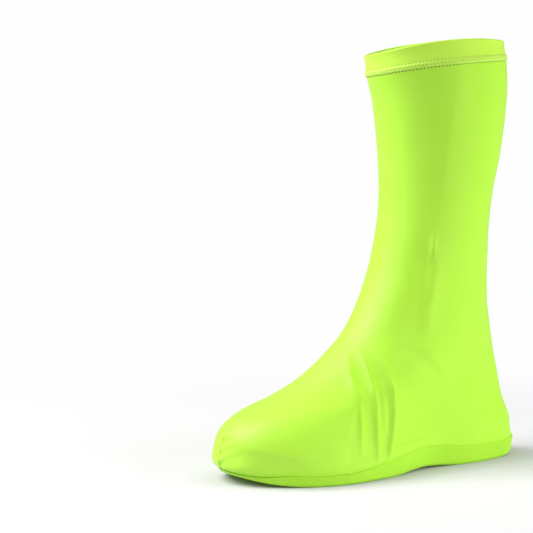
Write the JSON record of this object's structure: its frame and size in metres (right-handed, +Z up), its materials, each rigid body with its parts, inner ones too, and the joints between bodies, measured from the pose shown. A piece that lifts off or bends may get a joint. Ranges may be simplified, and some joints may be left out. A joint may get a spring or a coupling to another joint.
{
  "type": "shoe cover",
  "caption": "Pull-on stretch shoe cover with a calf-high leg, hemmed top edge, shaped sole band and flat sole, standing open and empty.",
  "frame": {"origin": "on the floor, under the middle of the whole cover's box", "axes": "+Z up the leg, toe towards -Y, heel towards +Y, outer side of the left foot towards +X"},
  "size_m": [0.1092, 0.2942, 0.363],
  "materials": {
    "knit_upper": "lime stretch knit with a satin face",
    "knit_hem": "two layers of the lime stretch knit, turned in",
    "seam_thread": "lime coverstitch over the hem",
    "knit_seam": "closing seam in the lime knit",
    "sole_side": "lime elastomer band with a soft satin face",
    "sole_plate": "lime elastomer plate with a fine grip grain"
  },
  "bodies": {
    "root": {"upper": "knit_upper", "hem_band": "knit_hem", "hem_seam": "seam_thread", "toe_seam": "knit_seam", "sole_band": "sole_side", "outsole": "sole_plate"}
  },
  "joints": []
}
